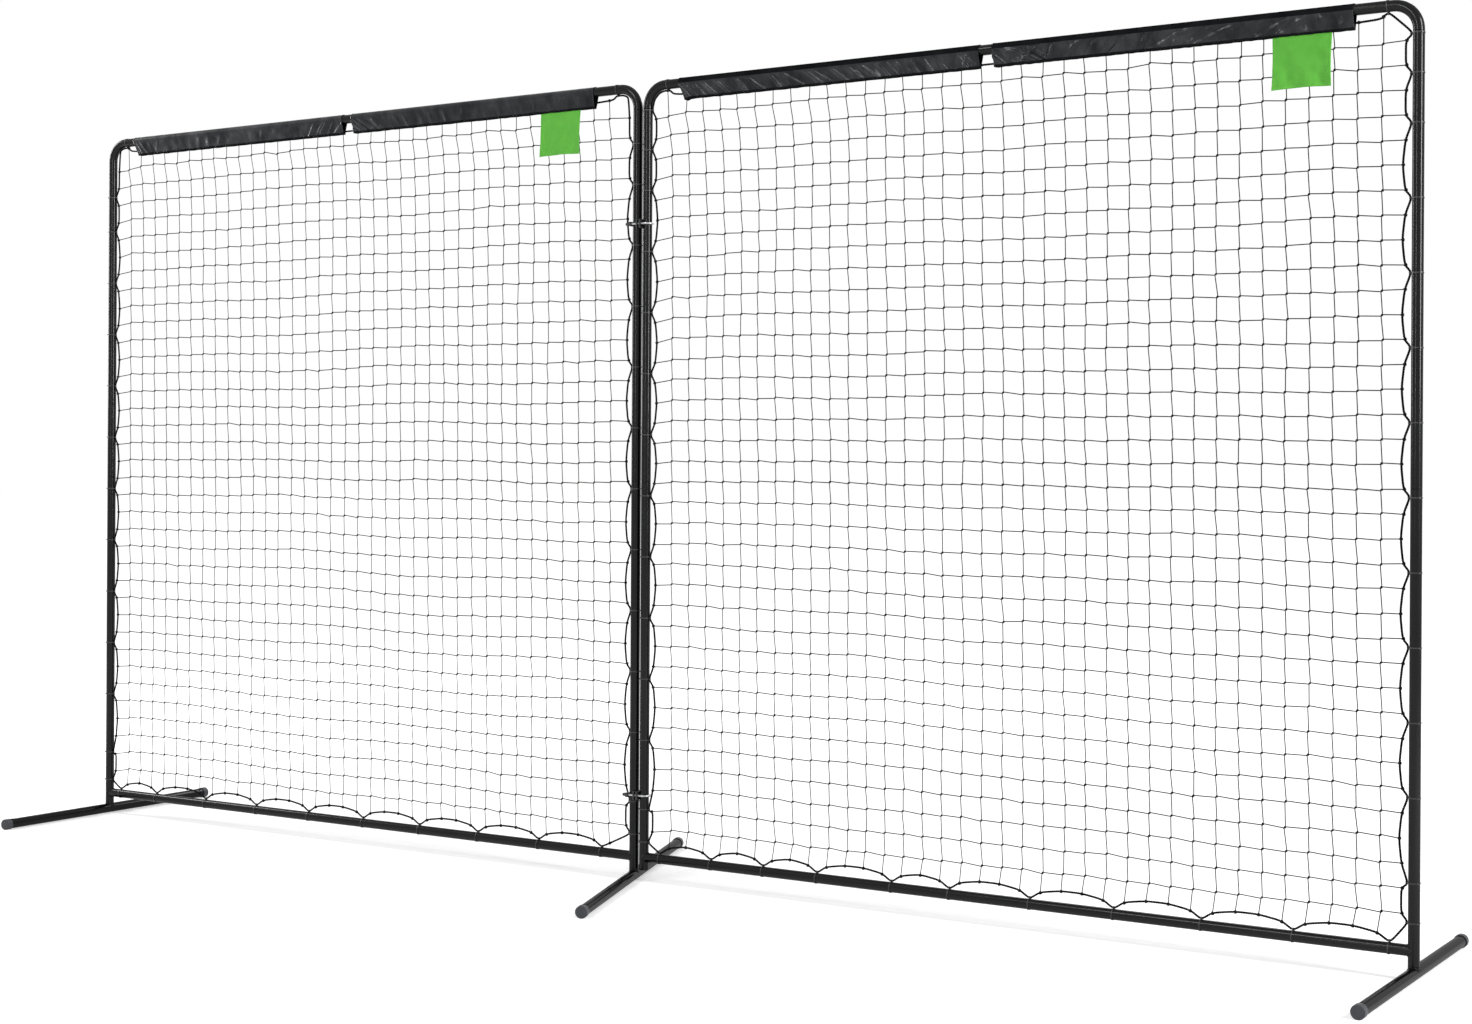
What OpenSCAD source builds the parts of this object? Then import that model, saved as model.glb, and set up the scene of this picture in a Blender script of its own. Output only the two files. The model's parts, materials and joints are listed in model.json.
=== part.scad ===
/* [Frames] */
// Height of the top rail's upper side above the ground
frame_h = 3000; // [2500:50:3600]
// Outside width of one frame
frame_w = 2950; // [2450:50:3550]
// Clear gap between the two inner posts
post_gap = 10; // [8:1:14]
// Outside diameter of the frame tube
tube_d = 36; // [30:1:43]
// Wall of the frame tube
tube_wall = 1.5; // [1.2:0.1:2]
// Centreline radius of the two top corners
bend_r = 80; // [66:1:96]
// Straight tail below each bent corner
bend_tail = 4; // [3:1:6]
// Height of the bottom rail's centreline
rail_z = 92; // [84:1:120]
// Stub of the bottom rail, from the post's centreline to its joint
stub_len = 245; // [200:5:300]
// Height of the joint in the posts
post_joint_z = 1500; // [1250:10:1800]
// Length of the reduced end that slips into the next tube
swage_len = 60; // [40:5:80]
// Chamfer that shows each joint as a fine groove
joint_chamfer = 0.8; // [0.5:0.1:1.2]

/* [Feet] */
// Length of an outer foot over its caps
foot_len = 1200; // [960:20:1460]
// Length of the middle foot, which carries both frames
middle_foot_len = 1540; // [1200:20:1860]
// Outside diameter of the foot tube
foot_d = 40; // [34:1:44]
// Wall of the foot tube
foot_wall = 2; // [1.5:0.1:3]
// Wall of the end caps
cap_wall = 2.5; // [1.5:0.1:4]
// Length of cap that covers the tube
cap_skirt = 24; // [20:1:30]
// Thickness of the cap's end
cap_end = 4; // [3:0.5:6]
// Rounding of the cap's end
cap_round = 3; // [2:0.5:4]
// Length of spigot inside the post
spigot_len = 80; // [60:5:100]
// Height of the collar between the foot tube and the post
collar_h = 2; // [1.5:0.5:4]
// Diameter of the ground peg holes
peg_hole_d = 10; // [8:0.5:12]
// From the end of the foot to the centre of the peg hole
peg_inset = 41; // [36:1:60]
// Chamfer at the top of the spigot
spigot_chamfer = 2; // [1:0.5:3]
// Angle that the middle foot is turned from square
middle_turn = 23; // [0:1:45]
// Angle that the outer feet are turned from square
outer_turn = 3.2; // [0:0.2:10]

/* [Coupling] */
// Place of the upper U-bolt, in rows of knots above the lowest one
ubolt_high_row = 29.7; // [29.5:0.1:30.4]
// Place of the lower U-bolt, in rows of knots above the lowest one
ubolt_low_row = 1.58; // [1.56:0.02:1.7]
// Diameter of the U-bolt's bar
ubolt_d = 8; // [6:1:10]
// Gap between the U-bolt and the post it goes round
ubolt_gap = 0.3; // [0.2:0.05:0.5]
// Height of the spacer between the posts
spacer_h = 32; // [26:1:36]
// Width of the spacer across the posts
spacer_w = 60; // [56:1:64]
// Thickness of the spacer's two flanges
flange_t = 6; // [4:0.5:8]
// Gap between the two flanges
flange_gap = 8; // [6:0.5:10]
// Thickness of the saddle between the post and the nuts
saddle_back = 3; // [2.5:0.5:6]
// Depth to which the saddle reaches round the post
saddle_cup = 7; // [5:0.5:9]
// Width of saddle outside each leg of the U-bolt
saddle_edge = 4; // [3:0.5:6]
// Height of the saddle
saddle_h = 16; // [12:1:18]
// Width across the flats of the nuts
nut_af = 13; // [11:0.5:16]
// Height of the nut's hexagon
nut_h = 6; // [5:0.5:9]
// Length of the round cap on the nut, with its dome
nut_cap_len = 10; // [8:1:20]
// Height of the dome
nut_dome_h = 3; // [2:0.5:4]
// Step from the nut's flats to its round cap
nut_step = 0.3; // [0.2:0.1:0.6]

/* [Net] */
// Diameter of the border rope
rope_d = 6; // [5:0.5:7]
// Thickness of the net's cords
cord_d = 3; // [2:0.5:3]
// From the bottom rail's centreline to the lowest row of knots
row_low = 111; // [104:1:130]
// From the top rail's centreline down to the highest row of knots
row_high = 110; // [104:1:140]
// From a post's centreline to the nearest column of knots
col_edge = 114; // [108:1:140]
// From the net's rows down to the loops on the left post of a frame
loop_fall = 14; // [0:1:18]
// From the net's rows up to the loops on the right post of a frame
loop_rise = 12; // [0:1:15]
// From a post's surface to the rope where a loop bulges furthest
bulge_side = 30; // [26:1:36]
// The same at the loop's outer knots
bulge_side_edge = 22; // [20:1:25]
// From the bottom rail's surface to the rope where a loop bulges furthest
bulge_low = 38; // [33:1:45]
// The same at the loop's outer knots
bulge_low_edge = 26; // [22:1:31]
// From the top rail's surface down to the rope inside the sleeves
rope_drop = 28; // [24:1:32]
// Place of the second tie on a post, in rows of knots above the second one
second_tie_row = 0.1; // [0.06:0.01:0.12]
// From the bent corner to the tie on the top rail
top_tie_gap = 15; // [10:1:20]
// Width of a cable tie
tie_w = 4; // [3:0.5:5]
// Thickness of a cable tie
tie_t = 1.4; // [1:0.1:1.6]
// Width of a cable tie's head
tie_head_w = 5; // [4:0.5:6]
// Height of a cable tie's head above its band
tie_head_h = 2.5; // [1.5:0.5:3]

/* [Sleeves and tag] */
// Gap between the two sleeves of a frame
sleeve_gap = 51; // [40:1:80]
// From the left post's centreline to the first sleeve
sleeve_start = 150; // [130:1:180]
// From the second sleeve to the right post's centreline
sleeve_stop = 200; // [180:1:230]
// From the top rail's surface down to the sleeve's lower edge
sleeve_drop = 44; // [40:1:52]
// Thickness of the sleeve's fabric
sleeve_t = 1.5; // [1:0.1:2]
// Half the gap between the sleeve's two flaps at the lower edge
flap_half = 4.5; // [4.4:0.1:5.5]
// Width of the tag
tag_w = 194; // [160:1:240]
// Height of the tag below the sleeve
tag_drop = 166; // [130:1:190]
// Height of the tag held inside the sleeve
tag_tuck = 32; // [24:1:34]
// Thickness of the tag
tag_t = 1; // [0.6:0.1:1]
// From the right post's centreline to the tag
tag_edge = 271; // [230:1:290]

/* [Hidden] */
$fn = 64;

// Tube sizes
tube_r = tube_d / 2;
bore_r = tube_r - tube_wall;
fit_gap = 0.05;
swage_r = bore_r - fit_gap;
swage_bore_r = swage_r - tube_wall;

// Feet
foot_r = foot_d / 2;
cap_r = foot_r + cap_wall;
spigot_gap = 0.08;
spigot_wall = 3;
weld_gap = 0.1;
seat_gap = 0.2;
foot_top_z = cap_r + foot_r;
post_bottom_z = foot_top_z + collar_h + seat_gap;
spigot_r = bore_r - spigot_gap;
spigot_top_z = post_bottom_z + spigot_len;

// Sleeves and tag
sleeve_fit = 0.4;
tag_gap = 0.2;

// Frame
span = frame_w - tube_d;
axis_gap = tube_d + post_gap;
top_z = frame_h - tube_r;
post_top_z = top_z - bend_r - bend_tail;
left_x = -axis_gap / 2 - span;
right_x = axis_gap / 2;
sleeve_len = (span - sleeve_start - sleeve_gap - sleeve_stop) / 2;
sleeve_next = sleeve_start + sleeve_len + sleeve_gap;
sleeve_reach = tube_r + sleeve_drop;

// Coupling
ubolt_r = ubolt_d / 2;
leg_y = tube_r + ubolt_gap + ubolt_r;
part_gap = 0.1;
web_inset = 2;
saddle_out = tube_r + saddle_back;
saddle_in = tube_r - saddle_cup;
cap_nut_r = nut_af / 2 - nut_step;
dome_step = 2;
leg_reach = saddle_out + nut_h + nut_cap_len - nut_dome_h;

// Net: 36 knots each way, which the rope's loops take up in groups
knots = 36;
side_loops = 13;
// Columns in each loop along the bottom rail, from the left; a column left over ends on the run up to the post
left_low_loops = [3, 4, 4, 4, 4, 4, 4, 4, 4];
right_low_loops = [3, 3, 3, 4, 3, 4, 4, 4, 4, 4];
rope_r = rope_d / 2;
rope_gap = 0.3;
tie_gap = 0.1;
tie_rope_gap = 0.2;
// From a tube's centreline to the rope where a tie holds it, and where it bulges
tie_reach = tube_r + tie_gap + tie_t + tie_rope_gap + rope_r;
side_reach = tube_r + bulge_side;
side_edge_reach = tube_r + bulge_side_edge;
low_reach = tube_r + bulge_low;
low_edge_reach = tube_r + bulge_low_edge;
top_reach = tube_r + rope_drop;
// Half the straight stretch of rope at each tie
tie_run = 6;
top_tie_x = bend_r + top_tie_gap;
first_row = rail_z + row_low;
last_row = top_z - row_high;
row_pitch = (last_row - first_row) / (knots - 1);
col_pitch = (span - 2 * col_edge) / (knots - 1);

// Height of a row and place of a column of knots
function row_z(k) = first_row + k * row_pitch;
function col_x(k) = col_edge + k * col_pitch;

// Rows that a loop on a post takes up: two at the bottom and in the top two loops, otherwise three
function loop_start(g) = g == 0 ? 0 : g <= 11 ? 3 * g - 1 : 34;
function loop_size(g) = loop_start(g + 1) - loop_start(g);
function loop_rows(g) = g == side_loops - 1 ? 2 : loop_size(g);
function loop_middle(g) = row_z(loop_start(g) + (loop_rows(g) - 1) / 2);
function loop_bulge(g) = loop_rows(g) == 3 ? side_reach : side_edge_reach;

// Heights of the ties on a post whose loops are moved up by shift from the rows.
// The second tie sits just above its row, clear of the lower U-bolt
function tie_z(g, shift) = g == side_loops ? post_top_z - tie_run
    : shift + (g == 1 ? row_z(1 + second_tie_row) : row_z(loop_start(g) - 0.5));
function low_start(loops, j) = j == 0 ? 0 : low_start(loops, j - 1) + loops[j - 1];
function tie_x(loops, j) = col_x(low_start(loops, j) - 0.5);

// Path of the rope up one post, as distances from the post's centreline and heights.
// With elbow ties it is held at the bent corner too, otherwise it runs on from the last loop to the top rail
function knot_bulge(g, k) = loop_rows(g) == 3 && k == 1 ? side_reach : side_edge_reach;
function loop_end(g, shift, elbow) =
    g < side_loops - 1 || elbow ? [[tie_reach, tie_z(g + 1, shift) - tie_run]] : [];
function side_path(shift, elbow) = concat(
    [[tie_reach, tie_z(0, shift) - tie_run]],
    [for (g = [0 : side_loops - 1])
        each concat(
            [[tie_reach, tie_z(g, shift) + tie_run]],
            [for (k = [0 : loop_rows(g) - 1]) [knot_bulge(g, k), row_z(loop_start(g) + k) + shift]],
            loop_end(g, shift, elbow)
        )
    ],
    elbow ? [[tie_reach, post_top_z]] : []
);

// Path under the top rail, from the left corner to the right one
top_path = [
    [top_tie_x - tie_run, top_z - tie_reach],
    [top_tie_x + tie_run, top_z - tie_reach],
    [sleeve_start, top_z - top_reach],
    [span - sleeve_start, top_z - top_reach],
    [span - top_tie_x - tie_run, top_z - tie_reach],
    [span - top_tie_x + tie_run, top_z - tie_reach]
];

// Path above the bottom rail, from left to right
function low_bulge(size, k) = k == 0 || k == size - 1 ? low_edge_reach : low_reach;
function low_path(loops) = concat(
    [[tie_x(loops, 0) - tie_run, rail_z + tie_reach]],
    [for (j = [0 : len(loops) - 1])
        each concat(
            [[tie_x(loops, j) + tie_run, rail_z + tie_reach]],
            [for (k = [0 : loops[j] - 1]) [col_x(low_start(loops, j) + k), rail_z + low_bulge(loops[j], k)]],
            [[tie_x(loops, j + 1) - tie_run, rail_z + tie_reach]]
        )
    ],
    [[tie_x(loops, len(loops)) + tie_run, rail_z + tie_reach]]
);

function reversed(list) = [for (i = [len(list) - 1 : -1 : 0]) list[i]];

// Whole closed route of the rope: up the left post, along the top, down the right post, back along the bottom
function rope_path(elbows, loops) = concat(
    side_path(-loop_fall, elbows),
    top_path,
    [for (p = reversed(side_path(loop_rise, elbows))) [span - p[0], p[1]]],
    reversed(low_path(loops))
);

// Closed rope of six sides that follows a flat route
rope_sides = 6;
function unit(v) = v / norm(v);
function rope_ring(path, i) =
    let (
        n = len(path),
        before = unit(path[i] - path[(i + n - 1) % n]),
        after = unit(path[(i + 1) % n] - path[i]),
        along = unit(before + after),
        out = [along[1], -along[0]],
        stretch = 1 / (along * after)
    )
    [for (s = [0 : rope_sides - 1])
        let (a = 360 * s / rope_sides)
        [
            path[i][0] + rope_r * stretch * cos(a) * out[0],
            rope_r * sin(a),
            path[i][1] + rope_r * stretch * cos(a) * out[1]
        ]
    ];

module closed_rope(path) {
    n = len(path);
    points = [for (i = [0 : n - 1]) each rope_ring(path, i)];
    faces = [
        for (i = [0 : n - 1])
            for (s = [0 : rope_sides - 1])
                let (
                    a = i * rope_sides + s,
                    b = i * rope_sides + (s + 1) % rope_sides,
                    c = ((i + 1) % n) * rope_sides + s,
                    d = ((i + 1) % n) * rope_sides + (s + 1) % rope_sides
                )
                each [[a, b, d], [a, d, c]]
    ];
    polyhedron(points = points, faces = faces, convexity = 20);
}

// Tube along +Z. Each end is plain, open with a chamfer, or reduced to slip into the next tube
function low_outline(end) =
    end == "reduced" ? [
        [swage_bore_r, -swage_len], [swage_r, -swage_len], [swage_r, 0],
        [tube_r - joint_chamfer, 0], [tube_r, joint_chamfer]
    ]
    : end == "open" ? [[bore_r, 0], [tube_r - joint_chamfer, 0], [tube_r, joint_chamfer]]
    : [[bore_r, 0], [tube_r, 0]];
function low_inside(end) = end == "reduced" ? [[bore_r, 2 * tube_wall], [swage_bore_r, 0]] : [];
function flipped(list, length) = [for (p = reversed(list)) [p[0], length - p[1]]];

module pipe(length, low, high) {
    rotate_extrude()
        polygon(concat(
            low_outline(low),
            flipped(low_outline(high), length),
            flipped(low_inside(high), length),
            low_inside(low)
        ));
}

// Bent corner at the left end of a top rail
module corner() {
    translate([bend_r, 0, top_z - bend_r])
        rotate([90, 0, 0])
            rotate([0, 0, 90])
                rotate_extrude(angle = 90)
                    translate([bend_r, 0])
                        difference() {
                            circle(r = tube_r);
                            circle(r = bore_r);
                        }
}

module lower_post() {
    difference() {
        union() {
            translate([0, 0, post_bottom_z])
                pipe(post_joint_z - post_bottom_z, "open", "open");
            translate([0, 0, rail_z])
                rotate([0, 90, 0])
                    cylinder(h = stub_len - joint_chamfer, r = tube_r);
            translate([stub_len - joint_chamfer, 0, rail_z])
                rotate([0, 90, 0])
                    cylinder(h = joint_chamfer, r1 = tube_r, r2 = tube_r - joint_chamfer);
        }
        translate([0, 0, post_bottom_z - 1])
            cylinder(h = post_joint_z - post_bottom_z + 2, r = bore_r);
        translate([tube_r, 0, rail_z])
            rotate([0, 90, 0])
                cylinder(h = stub_len, r = bore_r);
    }
}

module upper_post() {
    translate([0, 0, post_joint_z])
        pipe(post_top_z - post_joint_z, "reduced", "open");
}

module top_rail(middle_end) {
    union() {
        translate([bend_r, 0, top_z])
            rotate([0, 90, 0])
                pipe(span / 2 - bend_r, "plain", middle_end);
        corner();
        translate([0, 0, post_top_z])
            pipe(bend_tail, "reduced", "plain");
    }
}

module bottom_rail(middle_end) {
    translate([stub_len, 0, rail_z])
        rotate([0, 90, 0])
            pipe(span / 2 - stub_len, "reduced", middle_end);
}

// The right half of a frame is the left half turned round, with an open end at the middle joint
module right_half() {
    translate([span, 0, 0])
        mirror([1, 0, 0])
            children();
}

module net(loops) {
    low_z = rail_z + low_reach + rope_r + rope_gap;
    high_z = top_z - top_reach - rope_r - rope_gap;
    rotate([90, 0, 0])
        linear_extrude(height = cord_d, center = true)
            union() {
                for (g = [0 : side_loops - 1]) {
                    edge = loop_bulge(g) + rope_r + rope_gap;
                    left_z = loop_middle(g) - loop_fall;
                    right_z = loop_middle(g) + loop_rise;
                    polygon([
                        [edge, left_z - cord_d / 2], [span - edge, right_z - cord_d / 2],
                        [span - edge, right_z + cord_d / 2], [edge, left_z + cord_d / 2]
                    ]);
                }
                for (j = [0 : len(loops) - 1])
                    translate([col_x(low_start(loops, j) + (loops[j] - 1) / 2) - cord_d / 2, low_z])
                        square([cord_d, high_z - low_z]);
            }
}

// Cable tie round a tube along Z, with the rope held on its +X side and the head at the front
module cable_tie() {
    ring_r = tube_r + tie_gap + tie_t;
    linear_extrude(height = tie_w, center = true)
        difference() {
            union() {
                circle(r = ring_r);
                translate([tie_reach, 0])
                    circle(r = rope_r + tie_rope_gap + tie_t);
                rotate(-135)
                    translate([tube_r + tie_gap, -tie_head_w / 2])
                        square([tie_t + tie_head_h, tie_head_w]);
            }
            circle(r = tube_r + tie_gap);
            translate([tie_reach, 0])
                circle(r = rope_r + tie_rope_gap);
        }
}

module cable_ties(elbows, loops) {
    for (g = [0 : elbows ? side_loops : side_loops - 1]) {
        translate([0, 0, tie_z(g, -loop_fall)])
            cable_tie();
        translate([span, 0, tie_z(g, loop_rise)])
            mirror([1, 0, 0])
                cable_tie();
    }
    for (j = [0 : len(loops)])
        translate([tie_x(loops, j), 0, rail_z])
            rotate([0, -90, 0])
                cable_tie();
    for (x = [top_tie_x, span - top_tie_x])
        translate([x, 0, top_z])
            rotate([0, 90, 0])
                cable_tie();
}

// Folded strip over the rail: round on top, with two flaps that hang past the rope
module sleeve_section() {
    inner_r = tube_r + sleeve_fit;
    outer_r = inner_r + sleeve_t;
    difference() {
        union() {
            circle(r = outer_r);
            polygon([
                [-outer_r, 0], [-flap_half - sleeve_t, -sleeve_reach],
                [flap_half + sleeve_t, -sleeve_reach], [outer_r, 0]
            ]);
        }
        circle(r = inner_r);
        polygon([
            [-inner_r, 0], [-flap_half, -sleeve_reach - 1],
            [flap_half, -sleeve_reach - 1], [inner_r, 0]
        ]);
    }
}

module sleeve(x) {
    translate([x, 0, top_z])
        rotate([90, 0, 90])
            linear_extrude(height = sleeve_len)
                sleeve_section();
}

module tag() {
    translate([span - tag_edge - tag_w, tag_gap - flap_half, top_z - sleeve_reach - tag_drop])
        cube([tag_w, tag_t, tag_drop + tag_tuck]);
}

// U-bolt round the right-hand inner post, with its legs past the left-hand one
module u_bolt(z) {
    translate([0, 0, z]) {
        translate([right_x, 0, 0])
            rotate([0, 0, -90])
                rotate_extrude(angle = 180)
                    translate([leg_y, 0])
                        circle(r = ubolt_r);
        for (y = [-leg_y, leg_y])
            translate([-axis_gap / 2 - leg_reach, y, 0])
                rotate([0, 90, 0])
                    cylinder(h = axis_gap + leg_reach, r = ubolt_r);
    }
}

// Two flanges, each cupped to its post, with a narrow web between them and a hole for each leg
module spacer(z) {
    web_w = 2 * (leg_y - ubolt_r - part_gap - web_inset);
    web_len = flange_gap + flange_t;
    translate([0, 0, z])
        difference() {
            union() {
                cube([web_len, web_w, spacer_h], center = true);
                for (side = [-1, 1])
                    translate([side * (flange_gap + flange_t) / 2, 0, 0])
                        cube([flange_t, spacer_w, spacer_h], center = true);
            }
            translate([-axis_gap / 2, 0, 0])
                cylinder(h = spacer_h + 2, r = tube_r + part_gap, center = true);
            translate([axis_gap / 2, 0, 0])
                cylinder(h = spacer_h + 2, r = tube_r + ubolt_gap, center = true);
            for (y = [-leg_y, leg_y])
                translate([0, y, 0])
                    rotate([0, 90, 0])
                        cylinder(h = axis_gap, r = ubolt_r + part_gap, center = true);
        }
}

module saddle(z) {
    half_w = leg_y + ubolt_r + saddle_edge;
    translate([-axis_gap / 2, 0, z])
        difference() {
            translate([-saddle_out, -half_w, -saddle_h / 2])
                cube([saddle_out - saddle_in, 2 * half_w, saddle_h]);
            cylinder(h = saddle_h + 2, r = tube_r + part_gap, center = true);
            for (y = [-leg_y, leg_y])
                translate([-saddle_out - 1, y, 0])
                    rotate([0, 90, 0])
                        cylinder(h = saddle_out, r = ubolt_r + part_gap);
        }
}

module cap_nuts(z) {
    for (y = [-leg_y, leg_y])
        translate([-axis_gap / 2 - saddle_out, y, z])
            rotate([0, -90, 0])
                difference() {
                    union() {
                        cylinder(h = nut_h, r = nut_af / sqrt(3), $fn = 6);
                        translate([0, 0, nut_h])
                            cylinder(h = nut_cap_len - nut_dome_h, r = cap_nut_r);
                        translate([0, 0, nut_h + nut_cap_len - nut_dome_h])
                            cylinder(h = nut_dome_h, r1 = cap_nut_r, r2 = cap_nut_r - dome_step);
                    }
                    translate([0, 0, -1])
                        cylinder(h = 1 + leg_reach - saddle_out + part_gap, r = ubolt_r + part_gap);
                }
}

// Foot tube along Y, with its middle over the origin
module foot(length) {
    tube_half = length / 2 - cap_end;
    peg_y = length / 2 - peg_inset;
    difference() {
        translate([0, 0, cap_r])
            rotate([90, 0, 0])
                cylinder(h = 2 * tube_half, r = foot_r, center = true);
        translate([0, 0, cap_r])
            rotate([90, 0, 0])
                cylinder(h = 2 * tube_half + 2, r = foot_r - foot_wall, center = true);
        for (y = [-peg_y, peg_y])
            translate([0, y, -1])
                cylinder(h = foot_top_z + 2, r = peg_hole_d / 2);
    }
}

// Spigot that is welded across the foot tube, with the collar that the post stands on
module foot_spigot() {
    difference() {
        union() {
            translate([0, 0, cap_r])
                cylinder(h = post_bottom_z - seat_gap - cap_r, r = tube_r);
            translate([0, 0, cap_r])
                cylinder(h = spigot_top_z - spigot_chamfer - cap_r, r = spigot_r);
            translate([0, 0, spigot_top_z - spigot_chamfer])
                cylinder(h = spigot_chamfer, r1 = spigot_r, r2 = spigot_r - spigot_chamfer);
        }
        translate([0, 0, cap_r])
            rotate([90, 0, 0])
                cylinder(h = 2 * tube_d, r = foot_r + weld_gap, center = true);
        translate([0, 0, cap_r])
            cylinder(h = spigot_top_z + 1 - cap_r, r = spigot_r - spigot_wall);
    }
}

module end_cap() {
    difference() {
        rotate_extrude()
            union() {
                square([cap_r - cap_round, cap_end + cap_skirt]);
                translate([0, cap_round])
                    square([cap_r, cap_end + cap_skirt - cap_round]);
                intersection() {
                    translate([cap_r - cap_round, cap_round])
                        circle(r = cap_round);
                    square([cap_r, cap_r]);
                }
            }
        translate([0, 0, cap_end])
            cylinder(h = cap_skirt + 1, r = foot_r + fit_gap);
    }
}

module end_caps(length) {
    for (turn = [0, 180])
        rotate([0, 0, turn])
            translate([0, -length / 2, cap_r])
                rotate([-90, 0, 0])
                    end_cap();
}

module left_frame() {
    translate([left_x, 0, 0])
        children();
}

module right_frame() {
    translate([right_x, 0, 0])
        children();
}

module at_left_foot() {
    translate([left_x, 0, 0])
        rotate([0, 0, outer_turn])
            children();
}

module at_middle_foot() {
    translate([-axis_gap / 2, 0, 0])
        rotate([0, 0, middle_turn])
            children();
}

module at_right_foot() {
    translate([right_x + span, 0, 0])
        rotate([0, 0, outer_turn])
            children();
}

module left_outer_lower_post() { color("#1d1d1f") left_frame() lower_post(); }
module left_outer_upper_post() { color("#1d1d1f") left_frame() upper_post(); }
module left_inner_lower_post() { color("#1d1d1f") left_frame() right_half() lower_post(); }
module left_inner_upper_post() { color("#1d1d1f") left_frame() right_half() upper_post(); }
module left_top_rail_outer() { color("#1d1d1f") left_frame() top_rail("reduced"); }
module left_top_rail_inner() { color("#1d1d1f") left_frame() right_half() top_rail("open"); }
module left_bottom_rail_outer() { color("#1d1d1f") left_frame() bottom_rail("reduced"); }
module left_bottom_rail_inner() { color("#1d1d1f") left_frame() right_half() bottom_rail("open"); }
module left_net() { color("#3a3a3c") left_frame() net(left_low_loops); }
module left_border_rope() { color("#161616") left_frame() closed_rope(rope_path(false, left_low_loops)); }
module left_cable_ties() { color("#101010") left_frame() cable_ties(false, left_low_loops); }
module left_sleeve_outer() { color("#2c2d30") left_frame() sleeve(sleeve_start); }
module left_sleeve_inner() { color("#2c2d30") left_frame() sleeve(sleeve_next); }
module left_tag() { color("#55b031") left_frame() tag(); }

module right_inner_lower_post() { color("#1d1d1f") right_frame() lower_post(); }
module right_inner_upper_post() { color("#1d1d1f") right_frame() upper_post(); }
module right_outer_lower_post() { color("#1d1d1f") right_frame() right_half() lower_post(); }
module right_outer_upper_post() { color("#1d1d1f") right_frame() right_half() upper_post(); }
module right_top_rail_inner() { color("#1d1d1f") right_frame() top_rail("reduced"); }
module right_top_rail_outer() { color("#1d1d1f") right_frame() right_half() top_rail("open"); }
module right_bottom_rail_inner() { color("#1d1d1f") right_frame() bottom_rail("reduced"); }
module right_bottom_rail_outer() { color("#1d1d1f") right_frame() right_half() bottom_rail("open"); }
module right_net() { color("#3a3a3c") right_frame() net(right_low_loops); }
module right_border_rope() { color("#161616") right_frame() closed_rope(rope_path(true, right_low_loops)); }
module right_cable_ties() { color("#101010") right_frame() cable_ties(true, right_low_loops); }
module right_sleeve_inner() { color("#2c2d30") right_frame() sleeve(sleeve_start); }
module right_sleeve_outer() { color("#2c2d30") right_frame() sleeve(sleeve_next); }
module right_tag() { color("#55b031") right_frame() tag(); }

module upper_u_bolt() { color("#c9ccd0") u_bolt(row_z(ubolt_high_row)); }
module upper_spacer() { color("#151515") spacer(row_z(ubolt_high_row)); }
module upper_saddle() { color("#2a2a2a") saddle(row_z(ubolt_high_row)); }
module upper_cap_nuts() { color("#151515") cap_nuts(row_z(ubolt_high_row)); }
module lower_u_bolt() { color("#c9ccd0") u_bolt(row_z(ubolt_low_row)); }
module lower_spacer() { color("#151515") spacer(row_z(ubolt_low_row)); }
module lower_saddle() { color("#2a2a2a") saddle(row_z(ubolt_low_row)); }
module lower_cap_nuts() { color("#151515") cap_nuts(row_z(ubolt_low_row)); }

module left_foot() { color("#1d1d1f") at_left_foot() foot(foot_len); }
module left_foot_spigot() { color("#1d1d1f") at_left_foot() foot_spigot(); }
module left_foot_caps() { color("#34363a") at_left_foot() end_caps(foot_len); }
module middle_foot() { color("#1d1d1f") at_middle_foot() foot(middle_foot_len); }
module middle_foot_spigot() { color("#1d1d1f") at_middle_foot() foot_spigot(); }
module middle_foot_caps() { color("#34363a") at_middle_foot() end_caps(middle_foot_len); }
module right_foot() { color("#1d1d1f") at_right_foot() foot(foot_len); }
module right_foot_spigot() { color("#1d1d1f") at_right_foot() foot_spigot(); }
module right_foot_caps() { color("#34363a") at_right_foot() end_caps(foot_len); }

left_outer_lower_post();
left_outer_upper_post();
left_inner_lower_post();
left_inner_upper_post();
left_top_rail_outer();
left_top_rail_inner();
left_bottom_rail_outer();
left_bottom_rail_inner();
left_net();
left_border_rope();
left_cable_ties();
left_sleeve_outer();
left_sleeve_inner();
left_tag();
right_inner_lower_post();
right_inner_upper_post();
right_outer_lower_post();
right_outer_upper_post();
right_top_rail_inner();
right_top_rail_outer();
right_bottom_rail_inner();
right_bottom_rail_outer();
right_net();
right_border_rope();
right_cable_ties();
right_sleeve_inner();
right_sleeve_outer();
right_tag();
upper_u_bolt();
upper_spacer();
upper_saddle();
upper_cap_nuts();
lower_u_bolt();
lower_spacer();
lower_saddle();
lower_cap_nuts();
left_foot();
left_foot_spigot();
left_foot_caps();
middle_foot();
middle_foot_spigot();
middle_foot_caps();
right_foot();
right_foot_spigot();
right_foot_caps();
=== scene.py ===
import json
import math

import bpy
import numpy as np
from mathutils import Matrix, Vector


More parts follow.
